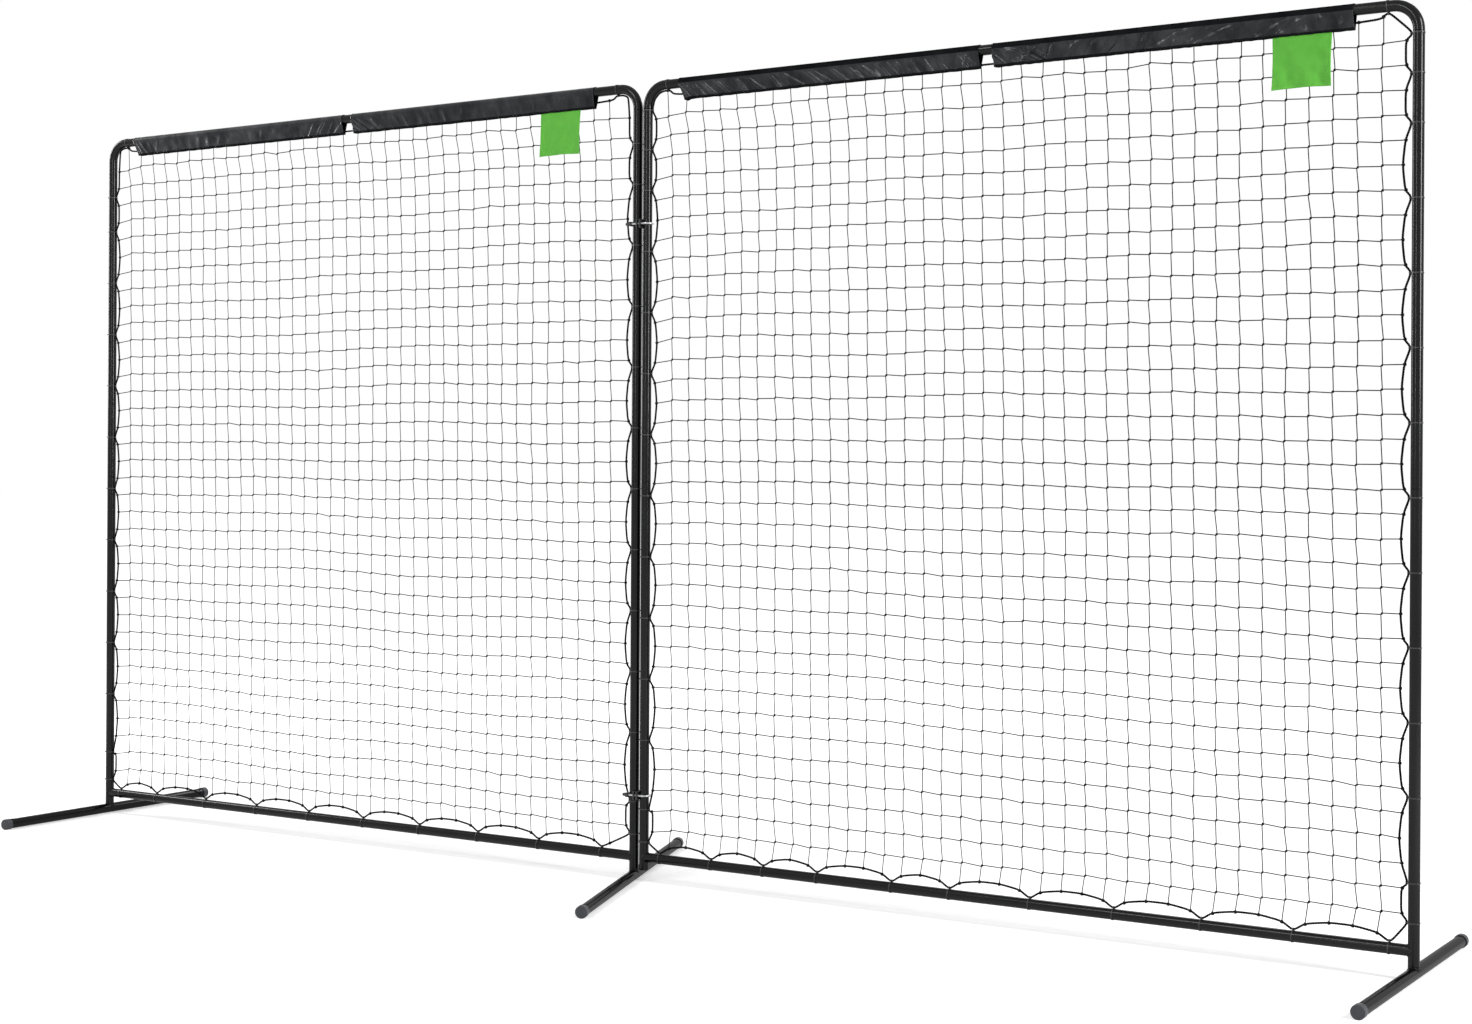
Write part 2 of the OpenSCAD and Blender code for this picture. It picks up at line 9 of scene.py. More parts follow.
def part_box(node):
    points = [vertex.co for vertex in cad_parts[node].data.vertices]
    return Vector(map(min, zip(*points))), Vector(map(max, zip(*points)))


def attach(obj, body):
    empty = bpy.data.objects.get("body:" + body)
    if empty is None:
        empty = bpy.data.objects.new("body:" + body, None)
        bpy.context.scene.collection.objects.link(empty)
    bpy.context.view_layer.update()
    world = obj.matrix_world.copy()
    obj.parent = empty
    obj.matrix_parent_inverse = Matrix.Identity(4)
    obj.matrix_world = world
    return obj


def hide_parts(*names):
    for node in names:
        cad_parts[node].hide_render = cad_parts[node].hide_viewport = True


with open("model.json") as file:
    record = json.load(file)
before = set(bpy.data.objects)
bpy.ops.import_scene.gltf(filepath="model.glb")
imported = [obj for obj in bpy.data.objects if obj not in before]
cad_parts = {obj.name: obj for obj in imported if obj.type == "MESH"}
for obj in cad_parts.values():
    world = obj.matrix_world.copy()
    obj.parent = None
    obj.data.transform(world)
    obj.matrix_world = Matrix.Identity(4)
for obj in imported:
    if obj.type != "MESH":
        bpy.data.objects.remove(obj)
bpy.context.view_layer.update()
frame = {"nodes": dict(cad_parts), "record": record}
scene = bpy.context.scene
scene.view_settings.view_transform = "Standard"

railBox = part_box("left_bottom_rail_outer")
tubeR = (railBox[1][2] - railBox[0][2]) / 2
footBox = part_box("left_foot")
footR = (footBox[1][2] - footBox[0][2]) / 2


def axesOf(side, leftPost, rightPost, elbows, loops, bends):
    # elbows: ties also hold the rope at the bent corners
    # loops: columns of knots in each loop over the bottom rail
    # bends: where the rope lies in each bent corner, in degrees, nothing where it crosses freely
    low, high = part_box(leftPost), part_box(rightPost)
    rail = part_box(f"{side}_bottom_rail_outer")
    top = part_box(f"{side}_top_rail_outer")
    return {
        "side": side,
        "body": f"{side}_frame",
        "left": low[0][0] + tubeR,  # axis of the left post
        "right": high[1][0] - tubeR,
        "rail": (rail[0][2] + rail[1][2]) / 2,
        "top": top[1][2] - tubeR,
        "elbows": elbows,
        "loops": loops,
        "bends": bends,
    }


frames = [
    axesOf(
        "left", "left_outer_lower_post", "left_inner_lower_post", False, [3] + [4] * 8,
        {"left": (126, 110, 97), "right": (126, 110, 97)},
    ),
    axesOf(
        "right", "right_inner_lower_post", "right_outer_lower_post", True, [3, 3, 3, 4, 3] + [4] * 5,
        {"left": (180, 150, 120, 100), "right": ()},
    ),
]

camera = {
    "place": (5.2010, -7.0370, 1.5490),
    "turn": 0.59574,  # to the left of straight on, in radians
    "roll": 0.00565,
    "sensor": 36,
    "lens": 56.92,
    "shiftY": -0.0291,
    "reach": 300,  # how far it sees
}


def makeCamera(spec):
    data = bpy.data.cameras.new("viewCamera")
    data.sensor_width = spec["sensor"]
    data.lens = spec["lens"]
    data.shift_y = spec["shiftY"]
    data.clip_end = spec["reach"]
    obj = bpy.data.objects.new("viewCamera", data)
    turn = Matrix.Rotation(spec["turn"], 4, "Z") @ Matrix.Rotation(math.pi / 2, 4, "X")
    obj.matrix_world = Matrix.Translation(spec["place"]) @ turn @ Matrix.Rotation(spec["roll"], 4, "Z")
    scene.collection.objects.link(obj)
    scene.camera = obj


makeCamera(camera)
print("camera set")


def newMaterial(name):
    mat = bpy.data.materials.new(name)
    mat.use_nodes = True
    nodes = mat.node_tree.nodes
    return mat, nodes, mat.node_tree.links, nodes["Principled BSDF"]


def addNoise(nodes, links, scale, detail=4, stretch=None):
    coords = nodes.new("ShaderNodeTexCoord")
    noise = nodes.new("ShaderNodeTexNoise")
    noise.inputs["Scale"].default_value = scale
    noise.inputs["Detail"].default_value = detail
    if stretch:
        mapping = nodes.new("ShaderNodeMapping")
        mapping.inputs["Scale"].default_value = stretch
        links.new(coords.outputs["Object"], mapping.inputs["Vector"])
        links.new(mapping.outputs["Vector"], noise.inputs["Vector"])
    else:
        links.new(coords.outputs["Object"], noise.inputs["Vector"])
    return noise.outputs["Fac"]


def addTint(nodes, links, shader, value, dark, light):
    ramp = nodes.new("ShaderNodeValToRGB")
    first, last = ramp.color_ramp.elements
    first.position, first.color = 0.32, (*dark, 1)
    last.position, last.color = 0.68, (*light, 1)
    links.new(value, ramp.inputs["Fac"])
    links.new(ramp.outputs["Color"], shader.inputs["Base Color"])


def addRange(nodes, links, shader, value, low, high, socket="Roughness"):
    remap = nodes.new("ShaderNodeMapRange")
    remap.inputs["From Min"].default_value = 0.3
    remap.inputs["From Max"].default_value = 0.7
    remap.inputs["To Min"].default_value = low
    remap.inputs["To Max"].default_value = high
    links.new(value, remap.inputs["Value"])
    links.new(remap.outputs["Result"], shader.inputs[socket])


def addBump(nodes, links, shader, height, strength, distance):
    bump = nodes.new("ShaderNodeBump")
    bump.inputs["Strength"].default_value = strength
    bump.inputs["Distance"].default_value = distance
    links.new(height, bump.inputs["Height"])
    links.new(bump.outputs["Normal"], shader.inputs["Normal"])


def blackPaint(name, coat, gloss):
    mat, nodes, links, shader = newMaterial(name)
    cloud = addNoise(nodes, links, 3.5)
    addTint(nodes, links, shader, cloud, (0.0012, 0.0013, 0.0015), (0.0026, 0.0027, 0.003))
    shader.inputs["Roughness"].default_value = 0.5
    shader.inputs["Specular IOR Level"].default_value = 0.0  # the gloss is all in the clear coat
    shader.inputs["Coat Weight"].default_value = coat
    addRange(nodes, links, shader, addNoise(nodes, links, 9, 1), *gloss, "Coat Roughness")
    return mat


def capPlastic():
    mat, nodes, links, shader = newMaterial("capPlastic")
    addTint(nodes, links, shader, addNoise(nodes, links, 60), (0.013, 0.0155, 0.02), (0.021, 0.0245, 0.031))
    addRange(nodes, links, shader, addNoise(nodes, links, 200), 0.42, 0.58)
    addBump(nodes, links, shader, addNoise(nodes, links, 1500, 3), 0.25, 0.0002)  # moulded grain
    return mat


def zincPlate():
    mat, nodes, links, shader = newMaterial("zincPlate")
    shader.inputs["Metallic"].default_value = 1.0
    addTint(nodes, links, shader, addNoise(nodes, links, 120), (0.34, 0.345, 0.36), (0.47, 0.475, 0.48))
    addRange(nodes, links, shader, addNoise(nodes, links, 300), 0.22, 0.42)
    addBump(nodes, links, shader, addNoise(nodes, links, 900, 2), 0.1, 0.0002)
    return mat


def netTwine():
    mat, nodes, links, shader = newMaterial("netTwine")
    addTint(nodes, links, shader, addNoise(nodes, links, 25), (0.006, 0.006, 0.0065), (0.014, 0.014, 0.015))
    shader.inputs["Roughness"].default_value = 0.8
    shader.inputs["Specular IOR Level"].default_value = 0.1
    addBump(nodes, links, shader, addNoise(nodes, links, 1400, 2), 0.6, 0.0003)  # braid
    return mat


def ropeYarn():
    mat, nodes, links, shader = newMaterial("ropeYarn")
    cloud = addNoise(nodes, links, 90)
    addTint(nodes, links, shader, cloud, (0.0018, 0.0018, 0.002), (0.005, 0.005, 0.0055))
    shader.inputs["Roughness"].default_value = 0.75
    shader.inputs["Specular IOR Level"].default_value = 0.06
    addBump(nodes, links, shader, addNoise(nodes, links, 1800, 2), 0.5, 0.0003)
    return mat


def tieNylon():
    mat, nodes, links, shader = newMaterial("tieNylon")
    addTint(nodes, links, shader, addNoise(nodes, links, 80), (0.005, 0.005, 0.005), (0.011, 0.011, 0.011))
    addRange(nodes, links, shader, addNoise(nodes, links, 300), 0.32, 0.48)
    return mat


def blackFitting(name):
    mat, nodes, links, shader = newMaterial(name)
    addTint(nodes, links, shader, addNoise(nodes, links, 100), (0.008, 0.008, 0.009), (0.018, 0.018, 0.019))
    addRange(nodes, links, shader, addNoise(nodes, links, 350), 0.36, 0.52)
    addBump(nodes, links, shader, addNoise(nodes, links, 1200, 2), 0.2, 0.0002)
    return mat


def coatedCloth():
    mat, nodes, links, shader = newMaterial("coatedCloth")
    cloud = addNoise(nodes, links, 14, 6)
    addTint(nodes, links, shader, cloud, (0.0045, 0.0052, 0.0066), (0.012, 0.0134, 0.0165))
    shader.inputs["Roughness"].default_value = 0.4
    shader.inputs["Specular IOR Level"].default_value = 0.06
    patches = addNoise(nodes, links, 20, 3, (1.0, 1.0, 0.5))  # the sheen changes from panel to panel
    addRange(nodes, links, shader, patches, 0.12, 0.62, "Coat Weight")
    addRange(nodes, links, shader, addNoise(nodes, links, 30, 2), 0.18, 0.28, "Coat Roughness")
    addBump(nodes, links, shader, addNoise(nodes, links, 32, 2), 0.12, 0.001)  # soft crumple in the coating
    return mat


# darker cloth for the hems, and painted shade over the rail's crown on the right sleeves
def hemAndShadeCloth():
    mat, nodes, links, shader = newMaterial("hemAndShadeCloth")
    cloud = addNoise(nodes, links, 18, 6)
    addTint(nodes, links, shader, cloud, (0.006, 0.0063, 0.007), (0.0105, 0.011, 0.012))
    shader.inputs["Roughness"].default_value = 0.7
    shader.inputs["Specular IOR Level"].default_value = 0.0
    addBump(nodes, links, shader, addNoise(nodes, links, 38, 3), 0.2, 0.001)
    return mat


def greenCloth():
    mat, nodes, links, shader = newMaterial("greenCloth")
    addTint(nodes, links, shader, addNoise(nodes, links, 30, 5), (0.09, 0.372, 0.04), (0.107, 0.41, 0.048))
    shader.inputs["Roughness"].default_value = 0.75
    shader.inputs["Specular IOR Level"].default_value = 0.2
    coords = nodes.new("ShaderNodeTexCoord")
    heights = []
    for direction in ("X", "Z"):
        weave = nodes.new("ShaderNodeTexWave")
        weave.bands_direction = direction
        weave.inputs["Scale"].default_value = 450
        links.new(coords.outputs["Object"], weave.inputs["Vector"])
        heights.append(weave.outputs["Fac"])
    both = nodes.new("ShaderNodeMath")
    both.operation = "ADD"
    links.new(heights[0], both.inputs[0])
    links.new(heights[1], both.inputs[1])
    addBump(nodes, links, shader, both.outputs["Value"], 0.25, 0.0002)
    return mat


finishes = {
    "frame_tube": blackPaint("framePaint", 0.42, (0.15, 0.21)),
    "foot_tube": blackPaint("footPaint", 0.3, (0.06, 0.1)),
    "end_cap": capPlastic(),
    "net_cord": netTwine(),
    "border_rope": ropeYarn(),
    "cable_tie": tieNylon(),
    "sleeve_cloth": coatedCloth(),
    "tag_cloth": greenCloth(),
    "zinc": zincPlate(),
    "spacer_plastic": blackFitting("spacerPlastic"),
    "cap_nut": blackFitting("capNut"),
}
hemAndShadeFinish = hemAndShadeCloth()

for part in frame["record"]["subparts"]:
    for slot in frame["nodes"][part["node"]].material_slots:
        slot.material = finishes[part["material_slot"]]
print("materials made")


def makePiece(name, verts, faces, body, slotName, stands=()):
    mesh = bpy.data.meshes.new(name)
    mesh.from_pydata(np.asarray(verts).tolist(), [], faces)
    mesh.materials.append(finishes[slotName])
    mesh.polygons.foreach_set("use_smooth", [True] * len(mesh.polygons))
    obj = bpy.data.objects.new(name, mesh)
    scene.collection.objects.link(obj)
    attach(obj, body)
    if stands:
        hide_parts(*stands)
    return obj


def sweep(lines, radius, sides, closed=False, ripple=None, facing=(0.0, 1.0, 0.0)):
    # tubes round many centrelines at once; ripple scales the radius at each point and side
    lines = np.asarray(lines, float)
    count, n, _ = lines.shape
    if closed:
        along = np.roll(lines, -1, 1) - np.roll(lines, 1, 1)
    else:
        ahead = np.concatenate([lines[:, 1:], lines[:, -1:]], 1)
        behind = np.concatenate([lines[:, :1], lines[:, :-1]], 1)
        along = ahead - behind
    along /= np.linalg.norm(along, axis=2, keepdims=True)
    side = np.cross(along, np.broadcast_to(facing, along.shape))
    side /= np.linalg.norm(side, axis=2, keepdims=True)
    up = np.cross(side, along)
    angle = 2 * np.pi * np.arange(sides) / sides
    reach = radius * (np.ones((n, sides)) if ripple is None else ripple)
    across = (reach * np.cos(angle))[None, :, :, None] * side[:, :, None, :]
    outward = (reach * np.sin(angle))[None, :, :, None] * up[:, :, None, :]
    verts = (lines[:, :, None, :] + across + outward).reshape(-1, 3)
    rings = n if closed else n - 1
    c, i, s = np.meshgrid(np.arange(count), np.arange(rings), np.arange(sides), indexing="ij")
    start = c * n * sides
    here, there = start + i * sides, start + (i + 1) % n * sides
    nextSide = (s + 1) % sides
    quads = np.stack([here + s, here + nextSide, there + nextSide, there + s], -1).reshape(-1, 4).tolist()
    if not closed:
        for k in range(count):
            first, last = k * n * sides, (k + 1) * n * sides - sides
            quads.append([first + s for s in range(sides)])
            quads.append([last + s for s in reversed(range(sides))])
    return verts, quads


def joined(*parts):
    verts, faces = [], []
    shift = 0
    for v, f in parts:
        verts.append(v)
        faces += [[i + shift for i in face] for face in f]
        shift += len(v)
    return np.concatenate(verts), faces


netGrid = {
    "knots": 36,  # inner knots each way
    "rowLow": 0.111,  # first row above the bottom rail's axis
    "rowHigh": 0.110,  # last row below the top rail's axis
    "colEdge": 0.114,  # first column from the post's axis
}
ropeSpec = {
    "radius": 0.0035,
    "sides": 9,
    "step": 0.002,  # between the points of its route
    "corner": (0.82, 0.18),  # where each corner of the route is cut, twice
    "tieReach": 0.0227,  # from a tube's axis at a tie
    "tieRun": 0.006,
    "sideBulge": (0.048, 0.040),  # middle and outer knots of a loop on a post
    "railBulge": (0.056, 0.044),
    "topDrop": 0.050,
    "endDrop": 0.041,  # where it leaves a sleeve
    "endRun": 0.15,  # from there to the full drop
    "slack": 0.022,  # past the tie it hangs before it rises to it
    "slackLift": 0.004,
    "tieShift": {"left": -0.014, "right": 0.012},  # the ties on each post sit this far above mid-row
    "shiftRows": (1, 4, 16, 24),  # at these rows the rope takes the rows' ends this much higher
    "rowShift": {"left": (-0.014, -0.005, -0.005, -0.014), "right": (0, 0, 0, 0)},
    "topTie": 0.095,
    "postTieDrop": 0.090,  # tie at the bent corner, below the top rail's axis
    "bend": 0.080,  # radius of the bent corner
    "sleeveEnds": (0.150, 0.200),
    "loops": [2] + [3] * 10 + [2, 2],  # rows of knots in each loop, from the bottom
    "secondTie": 1.1,  # row just above which the second tie sits, clear of the lower U-bolt
    "edgeBand": 0.07,  # the rope lies within this of the tubes' axes
    "lay": 0.024,  # length of one twist of its three strands
    "strandDepth": 0.14,
}


def rowHeight(f, k):
    low, high = f["rail"] + netGrid["rowLow"], f["top"] - netGrid["rowHigh"]
    return low + (high - low) * k / (netGrid["knots"] - 1)


def columnPlace(f, k):
    low, high = f["left"] + netGrid["colEdge"], f["right"] - netGrid["colEdge"]
    return low + (high - low) * k / (netGrid["knots"] - 1)


def endHeight(f, post, k):
    return rowHeight(f, k) + np.interp(k, ropeSpec["shiftRows"], ropeSpec["rowShift"][post])


def tieHeights(f, post):
    shift = ropeSpec["tieShift"][post]
    starts = np.concatenate([[0], np.cumsum(ropeSpec["loops"])])
    heights = [shift + rowHeight(f, s - 0.5) for s in starts]
    heights[1] = shift + rowHeight(f, ropeSpec["secondTie"])
    heights[-1] = f["top"] - ropeSpec["postTieDrop"]
    return heights


def sideRoute(f, post):
    # up one post: distance from its axis, and height
    far, near = ropeSpec["sideBulge"]
    tie, run = ropeSpec["tieReach"], ropeSpec["tieRun"]
    heights = tieHeights(f, post)
    route = [(tie, heights[0] - run)]
    row = 0
    for loop, count in enumerate(ropeSpec["loops"]):
        route.append((tie, heights[loop] + run))
        for k in range(count):
            route.append((far if count == 3 and k == 1 else near, endHeight(f, post, row + k)))
        row += count
        if f["elbows"] or row < netGrid["knots"]:
            route.append((tie, heights[loop + 1] - run))
    if f["elbows"]:
        route.append((tie, heights[-1] + run))
    bend = ropeSpec["bend"]
    for angle in f["bends"][post]:
        a = math.radians(angle)
        route.append((bend + (bend - tie) * math.cos(a), f["top"] - bend + (bend - tie) * math.sin(a)))
    return route


def topRoute(f):
    tie, run, end = ropeSpec["tieReach"], ropeSpec["tieRun"], ropeSpec["endDrop"]
    a, b = f["left"] + ropeSpec["topTie"], f["right"] - ropeSpec["topTie"]
    c, d = f["left"] + ropeSpec["sleeveEnds"][0], f["right"] - ropeSpec["sleeveEnds"][1]
    slack, lift = ropeSpec["slack"], ropeSpec["slackLift"]
    drop, far = ropeSpec["topDrop"], ropeSpec["endRun"]
    route = [(a - run, tie), (a + run, tie), (a + slack, end - lift), (c, end), (c + far, drop)]
    route += [(d - far, drop), (d, end), (b - slack, end - lift), (b - run, tie), (b + run, tie)]
    return [(x, f["top"] - below) for x, below in route]


def lowRoute(f):
    far, near = ropeSpec["railBulge"]
    tie, run = ropeSpec["tieReach"], ropeSpec["tieRun"]
    route = []
    column = 0
    for count in f["loops"] + [0]:
        x = columnPlace(f, column - 0.5)
        route += [(x - run, f["rail"] + tie), (x + run, f["rail"] + tie)]
        for k in range(count):
            rise = near if k in (0, count - 1) else far
            route.append((columnPlace(f, column + k), f["rail"] + rise))
        column += count
    return route


def spacedAlong(points, step):
    # the same closed line with points an even step apart
    points = np.concatenate([points, points[:1]])
    travel = np.concatenate([[0], np.cumsum(np.linalg.norm(np.diff(points, axis=0), axis=1))])
    count = 2 * round(travel[-1] / step / 2)
    at = np.arange(count) * travel[-1] / count
    return np.stack([np.interp(at, travel, points[:, k]) for k in range(2)], 1), travel[-1]


def cornersCut(points):
    ahead = np.roll(points, -1, 0)
    most, rest = ropeSpec["corner"]
    return np.stack([most * points + rest * ahead, rest * points + most * ahead], 1).reshape(-1, 2)


def layRope(f):
    left = [(f["left"] + d, z) for d, z in sideRoute(f, "left")]
    right = [(f["right"] - d, z) for d, z in reversed(sideRoute(f, "right"))]
    route = np.array(left + topRoute(f) + right + lowRoute(f)[::-1])
    f["rope"], f["ropeLength"] = spacedAlong(cornersCut(cornersCut(route)), ropeSpec["step"])


def makeRope(f):
    route = f["rope"][::2]
    n, sides = len(route), ropeSpec["sides"]
    line = np.stack([route[:, 0], np.zeros(n), route[:, 1]], 1)[None]
    turns = round(f["ropeLength"] / ropeSpec["lay"])
    angle = 2 * np.pi * (np.arange(sides)[None, :] / sides - turns * np.arange(n)[:, None] / n)
    strands = 1 + ropeSpec["strandDepth"] * np.cos(3 * angle)
    verts, faces = sweep(line, ropeSpec["radius"], sides, closed=True, ripple=strands)
    makePiece(f"{f['side']}Rope", verts, faces, f["body"], "border_rope", [f"{f['side']}_border_rope"])


for f in frames:
    layRope(f)
    makeRope(f)
print("ropes made")

twineSpec = {
    "radius": {"left": 0.0018, "right": 0.00175},
    "sides": 4,
    "sway": (0.003, 0.006),  # slow waves across and up
    "swayWaves": 7,
    "swayTurns": 2.2,  # most waves across or up in that length
    "swayLength": 1.6,
    "calmRows": 3,  # the waves grow from the edges inward over this many rows
    "calmLeast": 0.35,
    "jitter": (0.0012, 0.0014),  # knot by knot
    "topJitter": 0.003,  # more in the two rows under the sleeves
    "topFade": 0.9,  # rows or columns over which what the top edge does fades
    "endJitter": 0.004,  # where the columns meet the rope above
    "depth": 0.0015,  # out of the net's plane
    "cornerSag": 0.014,  # the first knot below the left top corner
    "knotR": 0.0033,
    "knotShape": (1.5, 0.8, 1.26),  # how long, wide and deep
    "knotPoints": 13,
    "knotSpin": 0.3,  # most turn out of its lean, in radians
    "knotSize": (0.85, 1.15),
    "lean": (0.0023, 0.0022),  # half a knot's length: cords enter it low left and leave it high right
}
# how far knots lie off the even grid: the top row's two ends to the right, both sides inwards,
# and the bottom row to the right
netShape = {
    "left": {"seed": 11, "top": (-0.018, -0.014), "spread": 0.008, "low": 0.002},
    "right": {"seed": 29, "top": (-0.018, 0.001), "spread": 0.0, "low": 0.010},
}
hitchSpec = {"turns": 2.4, "points": 22, "pitch": 0.0024, "grip": 0.7}


def slowWaves(rng, x, z):
    total = np.zeros(x.shape)
    for _ in range(twineSpec["swayWaves"]):
        fx, fz = rng.uniform(-twineSpec["swayTurns"], twineSpec["swayTurns"], 2)
        phase = 2 * np.pi * (fx * x + fz * z) / twineSpec["swayLength"]
        total += np.sin(phase + rng.uniform(0, 2 * np.pi))
    return total / 3.0


def meetsRope(f, axis, value, low, high):
    # where a row or column meets the rope between two limits of the other coordinate, and which way it runs
    route = f["rope"]
    gap = np.abs(route[:, axis] - value)
    gap[(route[:, 1 - axis] < low) | (route[:, 1 - axis] > high)] = np.inf
    at = int(np.argmin(gap))
    ahead, behind = route[(at + 1) % len(route)], route[at - 1]
    way = (ahead - behind) / np.linalg.norm(ahead - behind)
    return (route[at][0], 0.0, route[at][1]), (way[0], 0.0, way[1])


def knotLines(rng, places):
    # a small three-lobed knot at each place, drawn out along its lean
    t = 2 * np.pi * np.arange(twineSpec["knotPoints"]) / twineSpec["knotPoints"]
    r = twineSpec["knotR"] / 3
    long, wide, deep = twineSpec["knotShape"]
    along = long * r * (np.cos(t) - 2 * np.cos(2 * t))
    across = wide * r * (np.sin(t) + 2 * np.sin(2 * t))
    loose = twineSpec["knotSpin"]
    spin = math.atan2(*twineSpec["lean"][::-1]) + rng.uniform(-loose, loose, len(places))
    c, s = np.cos(spin)[:, None], np.sin(spin)[:, None]
    x = c * along - s * across
    z = s * along + c * across
    y = np.broadcast_to(-deep * r * np.sin(3 * t), x.shape)
    size = rng.uniform(*twineSpec["knotSize"], len(places))[:, None, None]
    return places[:, None, :] + size * np.stack([x, y, z], -1)


def throughKnots(first, knots, last):
    # lines that pass each knot from its low left end to its high right end
    half = np.array([twineSpec["lean"][0], 0.0, twineSpec["lean"][1]])
    ends = np.stack([knots - half, knots + half], 2).reshape(len(knots), -1, 3)
    return np.concatenate([first[:, :1], ends, last[:, :1]], 1)


def knotPlaces(f, rng):
    n = netGrid["knots"]
    k = np.arange(n)
    x0, z0 = np.meshgrid(columnPlace(f, k), rowHeight(f, k), indexing="xy")  # [row, column]
    row, column = k[:, None] / (n - 1), k[None, :] / (n - 1)
    calm = np.clip(np.minimum(k, n - 1 - k) / twineSpec["calmRows"] + twineSpec["calmLeast"], 0, 1)
    edge = np.minimum(calm[:, None], calm[None, :])
    shape = netShape[f["side"]]
    topFall = np.exp(-((n - 1 - k) / twineSpec["topFade"]))[:, None]
    (swayX, swayZ), (jitterX, jitterZ) = twineSpec["sway"], twineSpec["jitter"]
    dx = swayX * slowWaves(rng, x0, z0) * edge + rng.normal(0, jitterX, x0.shape)
    dz = swayZ * slowWaves(rng, x0, z0) * edge + rng.normal(0, jitterZ, x0.shape)
    dz += rng.normal(0, twineSpec["topJitter"], x0.shape) * topFall
    dx += shape["spread"] * (1 - 2 * column) + shape["low"] * (1 - row)
    dx += topFall * (shape["top"][0] * (1 - column) + shape["top"][1] * column)
    dz -= twineSpec["cornerSag"] * np.exp(-((k[None, :] / twineSpec["topFade"]) ** 2)) * topFall
    return np.stack([x0 + dx, twineSpec["depth"] * slowWaves(rng, x0, z0) * edge, z0 + dz], -1)


def hitchLines(places, ways, r):
    # two turns of cord round the rope where a row or column ends
    t = np.linspace(0, hitchSpec["turns"] * 2 * np.pi, hitchSpec["points"])[None, :, None]
    reach = ropeSpec["radius"] + hitchSpec["grip"] * r
    out = np.cross(ways, [0.0, 1.0, 0.0])[:, None, :]
    turn = reach * (np.cos(t) * out + np.sin(t) * np.array([0.0, 1.0, 0.0]))
    advance = hitchSpec["pitch"] * (t / (2 * np.pi) - hitchSpec["turns"] / 2) * ways[:, None, :]
    return places[:, None, :] + turn + advance


def makeNet(f):
    rng = np.random.default_rng(netShape[f["side"]]["seed"])
    knots = knotPlaces(f, rng)
    left, right, low, top = [], [], [], []
    band = ropeSpec["edgeBand"]
    for k in range(netGrid["knots"]):
        x = knots[-1, k, 0] + rng.normal(0, twineSpec["endJitter"])
        left.append(meetsRope(f, 1, endHeight(f, "left", k), f["left"], f["left"] + band))
        right.append(meetsRope(f, 1, endHeight(f, "right", k), f["right"] - band, f["right"]))
        low.append(meetsRope(f, 0, columnPlace(f, k), f["rail"], f["rail"] + band))
        top.append(meetsRope(f, 0, x, f["top"] - band, f["top"]))
    # each is now [knot, place or way, xyz]
    left, right, low, top = (np.array(ends) for ends in (left, right, low, top))
    rows = throughKnots(left, knots, right)
    columns = throughKnots(low, knots.transpose(1, 0, 2), top)
    r, sides = twineSpec["radius"][f["side"]], twineSpec["sides"]
    wraps = sweep(knotLines(rng, knots.reshape(-1, 3)), r, sides, closed=True)
    verts, faces = joined(sweep(rows, r, sides), sweep(columns, r, sides), wraps)
    makePiece(f"{f['side']}Net", verts, faces, f["body"], "net_cord", [f"{f['side']}_net"])
    ends = np.concatenate([left, right, low, top])
    hitches = hitchLines(ends[:, 0], ends[:, 1], r)
    verts, faces = sweep(hitches, r, sides, facing=ends[:, 1][:, None, :])
    makePiece(f"{f['side']}Hitches", verts, faces, f["body"], "net_cord")


for f in frames:
    makeNet(f)
print("nets made")

sleeveSpec = {
    "over": 0.0192,  # radius of the cloth's middle over the rail
    "drop": 0.062,
    "half": 0.0053,  # half the gap between the flaps at the lower edge
    "thick": 0.0012,
    "hem": 0.008,
    "sideHem": 0.007,
    "seamRise": 0.0005,  # a hem stands out by this and its seam lies in as far
    "seamEdge": 0.001,
    "seamWidth": 0.0012,
    "crownEdge": -0.003,  # lower edge of the painted-shade band over the rail, from the rail's axis
    "cling": 0.016,  # from this far below the rail's axis the cloth begins to cling to the rail
    "pucker": 0.00025,  # small waves
    "puckerSize": 0.024,
    "wave": 0.0012,  # slow waves, none at the lower edge
    "waveSize": 0.07,
    "waveEdge": 0.02,
    "lift": (-0.0034, 0.0065),  # limits of the folds and waves together
    "ragged": 0.0005,  # the lower edge isn't dead straight
    "raggedSize": 0.05,
    "raggedBand": 0.03,
    "tuckReach": 0.05,
    "droopPlace": 0.014,
    "alongStep": 0.0026,
    "aroundStep": 0.0028,
}
foldSpec = {
    "spread": (0.15, 0.85),  # where a fold may lie in its own part of the stretch
    "tall": (0.75, 1.15),
    "foot": (0.08, 1.0),
    "bow": 0.008,
    "steep": 0.55,  # width of its steep flank beside the other
    "fadeLow": 0.003,
    "fadeHigh": 0.004,
    "valley": 0.45,  # the cloth lies in beside a fold: depth, distance and width as shares of the fold's
    "valleyPlace": 2.2,
    "valleyWidth": 1.6,
}
backFolds = [(0.0, 1.0, 22, (-1.0, 1.0), (4, 8), (1.0, 2.6), 0.8)]
